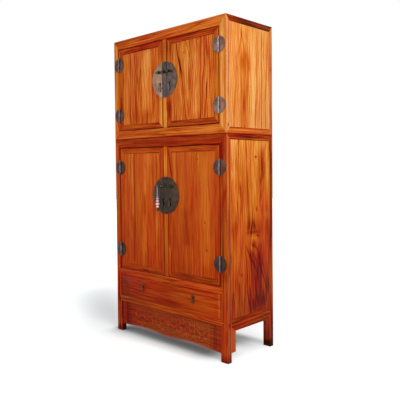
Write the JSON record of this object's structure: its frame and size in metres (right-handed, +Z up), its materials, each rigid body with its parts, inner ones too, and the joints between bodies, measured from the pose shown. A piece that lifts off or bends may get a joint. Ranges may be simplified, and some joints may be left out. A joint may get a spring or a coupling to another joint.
{
  "type": "compound cabinet",
  "caption": "Tall wooden cabinet: an upper chest with doors stands on a lower cabinet with doors, a drawer, a carved apron and legs.",
  "frame": {"origin": "centre of the wooden case's footprint, on the floor; the lock staples stand 25 mm before the front, so the box round everything but the bead string is centred 12 mm nearer the front", "axes": "+X along the front to the right, +Y from the front towards the back, +Z up"},
  "size_m": [1.12, 0.5201, 2.2],
  "materials": {
    "post_wood": "orange-red lacquer, satin",
    "rail_wood": "dark orange-red lacquer, satin",
    "panel_wood": "golden figured wood under clear lacquer",
    "door_wood": "orange-red lacquer, satin",
    "inside_wood": "bare, oiled",
    "aged_metal": "aged grey-brown, dull with worn spots",
    "worn_metal": "handled, grey and half bright",
    "beads": "opaque pink beads on a purple cord with a dark tassel"
  },
  "bodies": {
    "lower_cabinet": {"lower_top_board": "rail_wood", "lower_back_frame": "post_wood", "lower_front_left_post": "post_wood", "lower_front_right_post": "post_wood", "lower_left_side_panel": "panel_wood", "lower_right_side_panel": "panel_wood", "lower_deck": "rail_wood", "lower_bottom_frame": "rail_wood", "front_apron": "rail_wood", "left_side_apron": "rail_wood", "right_side_apron": "rail_wood", "lower_left_bottom_hinge_fixed_leaf": "aged_metal", "lower_left_top_hinge_fixed_leaf": "aged_metal", "lower_right_bottom_hinge_fixed_leaf": "aged_metal", "lower_right_top_hinge_fixed_leaf": "aged_metal"},
    "lower_left_door": {"lower_left_door_frame": "door_wood", "lower_left_door_panel": "panel_wood", "lower_left_lock_plate": "aged_metal", "lower_left_bottom_hinge_moving_leaf": "aged_metal", "lower_left_top_hinge_moving_leaf": "aged_metal"},
    "lower_right_door": {"lower_right_door_frame": "door_wood", "lower_right_door_panel": "panel_wood", "lower_right_lock_plate": "aged_metal", "lower_right_bottom_hinge_moving_leaf": "aged_metal", "lower_right_top_hinge_moving_leaf": "aged_metal"},
    "lower_left_pull": {"lower_left_drop_pull": "worn_metal"},
    "lower_right_pull": {"lower_right_drop_pull": "worn_metal"},
    "lock_bar": {"lock_bar": "worn_metal", "bead_string": "beads"},
    "lower_centre_post": {"lower_centre_post": "door_wood", "lower_centre_lock_plate": "aged_metal"},
    "drawer": {"drawer_front": "door_wood", "drawer_box": "inside_wood"},
    "drawer_left_pull": {"drawer_left_pull": "worn_metal"},
    "drawer_right_pull": {"drawer_right_pull": "worn_metal"},
    "upper_chest": {"upper_top_board": "rail_wood", "upper_back_frame": "post_wood", "upper_front_left_post": "post_wood", "upper_front_right_post": "post_wood", "upper_left_side_panel": "panel_wood", "upper_right_side_panel": "panel_wood", "upper_bottom_frame": "rail_wood", "upper_left_bottom_hinge_fixed_leaf": "aged_metal", "upper_left_top_hinge_fixed_leaf": "aged_metal", "upper_right_bottom_hinge_fixed_leaf": "aged_metal", "upper_right_top_hinge_fixed_leaf": "aged_metal"},
    "upper_left_door": {"upper_left_door_frame": "door_wood", "upper_left_door_panel": "panel_wood", "upper_left_lock_plate": "aged_metal", "upper_left_bottom_hinge_moving_leaf": "aged_metal", "upper_left_top_hinge_moving_leaf": "aged_metal"},
    "upper_right_door": {"upper_right_door_frame": "door_wood", "upper_right_door_panel": "panel_wood", "upper_right_lock_plate": "aged_metal", "upper_right_bottom_hinge_moving_leaf": "aged_metal", "upper_right_top_hinge_moving_leaf": "aged_metal"},
    "upper_left_pull": {"upper_left_drop_pull": "worn_metal"},
    "upper_right_pull": {"upper_right_drop_pull": "worn_metal"},
    "upper_centre_post": {"upper_centre_post": "door_wood", "upper_centre_lock_plate": "aged_metal"}
  },
  "joints": [
    {"name": "lower_left_door_hinge", "type": "hinge", "parent": "lower_cabinet", "child": "lower_left_door", "pos_m": [-0.5012, -0.2478, 0.939], "axis": [0, 0, -1], "range_deg": [0, 170]},
    {"name": "lower_right_door_hinge", "type": "hinge", "parent": "lower_cabinet", "child": "lower_right_door", "pos_m": [0.5012, -0.2478, 0.939], "axis": [0, 0, 1], "range_deg": [0, 170]},
    {"name": "lower_left_pull_swing", "type": "hinge", "parent": "lower_left_door", "child": "lower_left_pull", "pos_m": [-0.0362, -0.2487, 1.029], "axis": [-1, 0, 0], "range_deg": [0, 80]},
    {"name": "lower_right_pull_swing", "type": "hinge", "parent": "lower_right_door", "child": "lower_right_pull", "pos_m": [0.0362, -0.2487, 1.029], "axis": [-1, 0, 0], "range_deg": [0, 80]},
    {"name": "lock_bar_slide", "type": "slide", "parent": "lower_left_door", "child": "lock_bar", "axis": [-1, 0, 0], "range_m": [0, 0.07]},
    {"name": "lower_centre_post_removal", "type": "slide", "parent": "lower_cabinet", "child": "lower_centre_post", "axis": [0, -1, 0], "range_m": [0, 0.12]},
    {"name": "drawer_slide", "type": "slide", "parent": "lower_cabinet", "child": "drawer", "axis": [0, -1, 0], "range_m": [0, 0.3]},
    {"name": "drawer_left_pull_swing", "type": "hinge", "parent": "drawer", "child": "drawer_left_pull", "pos_m": [-0.255, -0.2489, 0.38], "axis": [-1, 0, 0], "range_deg": [0, 80]},
    {"name": "drawer_right_pull_swing", "type": "hinge", "parent": "drawer", "child": "drawer_right_pull", "pos_m": [0.255, -0.2489, 0.38], "axis": [-1, 0, 0], "range_deg": [0, 80]},
    {"name": "upper_chest_lift", "type": "slide", "parent": "lower_cabinet", "child": "upper_chest", "axis": [0, 0, 1], "range_m": [0, 0.08]},
    {"name": "upper_left_door_hinge", "type": "hinge", "parent": "upper_chest", "child": "upper_left_door", "pos_m": [-0.5012, -0.2478, 1.82815], "axis": [0, 0, -1], "range_deg": [0, 170]},
    {"name": "upper_right_door_hinge", "type": "hinge", "parent": "upper_chest", "child": "upper_right_door", "pos_m": [0.5012, -0.2478, 1.82815], "axis": [0, 0, 1], "range_deg": [0, 170]},
    {"name": "upper_left_pull_swing", "type": "hinge", "parent": "upper_left_door", "child": "upper_left_pull", "pos_m": [-0.045, -0.2487, 1.83115], "axis": [-1, 0, 0], "range_deg": [0, 80]},
    {"name": "upper_right_pull_swing", "type": "hinge", "parent": "upper_right_door", "child": "upper_right_pull", "pos_m": [0.045, -0.2487, 1.83115], "axis": [-1, 0, 0], "range_deg": [0, 80]},
    {"name": "upper_centre_post_removal", "type": "slide", "parent": "upper_chest", "child": "upper_centre_post", "axis": [0, -1, 0], "range_m": [0, 0.12]}
  ]
}
